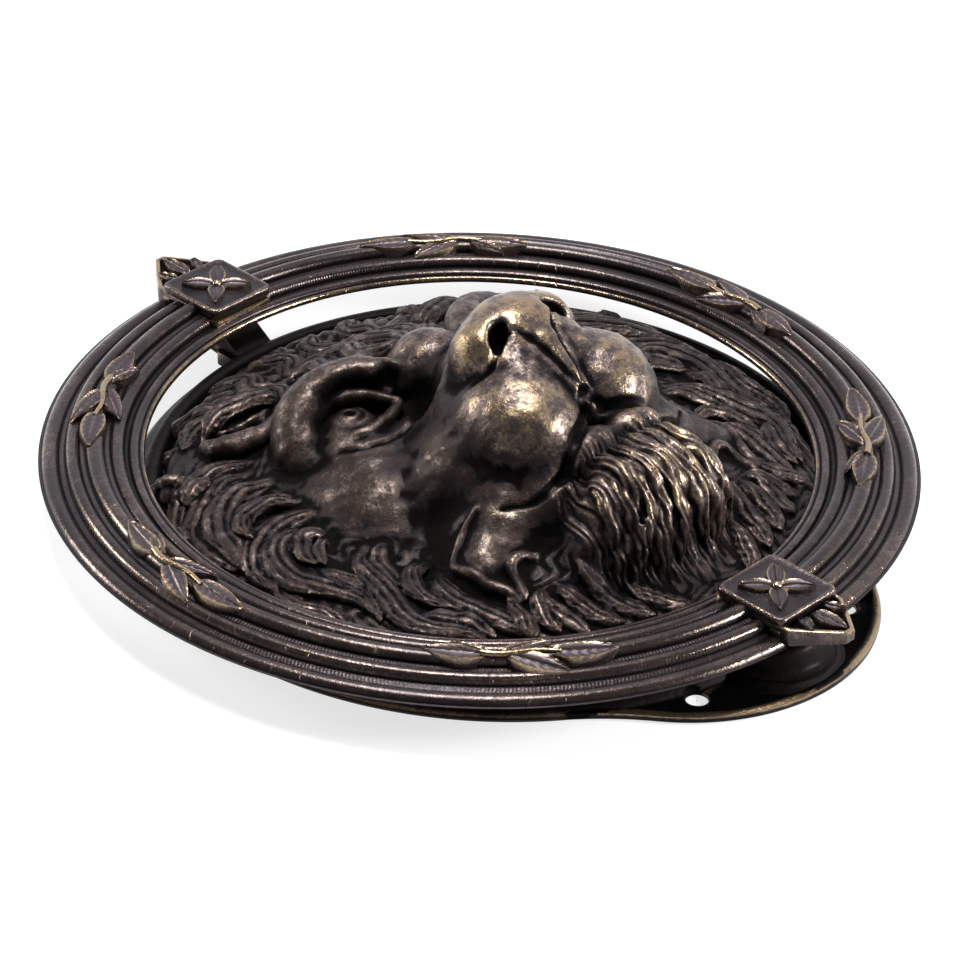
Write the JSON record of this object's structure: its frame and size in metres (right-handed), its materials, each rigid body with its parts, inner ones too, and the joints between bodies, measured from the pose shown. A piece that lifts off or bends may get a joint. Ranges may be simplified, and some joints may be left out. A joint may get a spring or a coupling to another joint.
{
  "type": "door knocker",
  "caption": "Cast lion-mask door knocker: round plate with a strike lobe, deep relief head and a reeded laurel ring that swings on a hinge above it.",
  "frame": {"origin": "under the centre of the ring, on the door face, at the middle of the footprint", "axes": "+Z out of the door, +Y up the door towards the hinge, +X to the right of somebody facing the door"},
  "size_m": [0.19, 0.207, 0.0517],
  "materials": {
    "plate": "aged dark bronze patina, satin",
    "mask": "aged dark bronze patina rubbed gold on the high spots",
    "ring": "aged dark bronze patina with worn golden edges",
    "ornament": "aged dark bronze patina with worn golden edges",
    "strike": "nearly black patina, satin",
    "steel": "dull zinc-plated steel"
  },
  "bodies": {
    "plate": {"backplate": "plate", "lion_mask": "mask", "mask_screw_1": "steel", "mask_screw_2": "steel", "mask_screw_3": "steel", "mask_screw_4": "steel", "bolt_boss": "strike", "strike_anvil": "strike", "anvil_screw": "steel"},
    "ring": {"ring": "ring", "hinge_pin": "steel", "striker_pad": "strike", "hinge_plaque": "ring", "hinge_flower": "ornament", "hinge_tab_leaf": "ornament", "strike_plaque": "ring", "strike_flower": "ornament", "strike_tab_leaf": "ornament", "laurel_spray_1": "ornament", "laurel_spray_2": "ornament", "laurel_spray_3": "ornament", "laurel_spray_4": "ornament", "laurel_spray_5": "ornament", "laurel_spray_6": "ornament"}
  },
  "joints": [
    {"name": "ring_swing", "type": "hinge", "parent": "plate", "child": "ring", "pos_m": [0, 0.084, 0.008], "axis": [-1, 0, 0], "range_deg": [0, 36]}
  ]
}
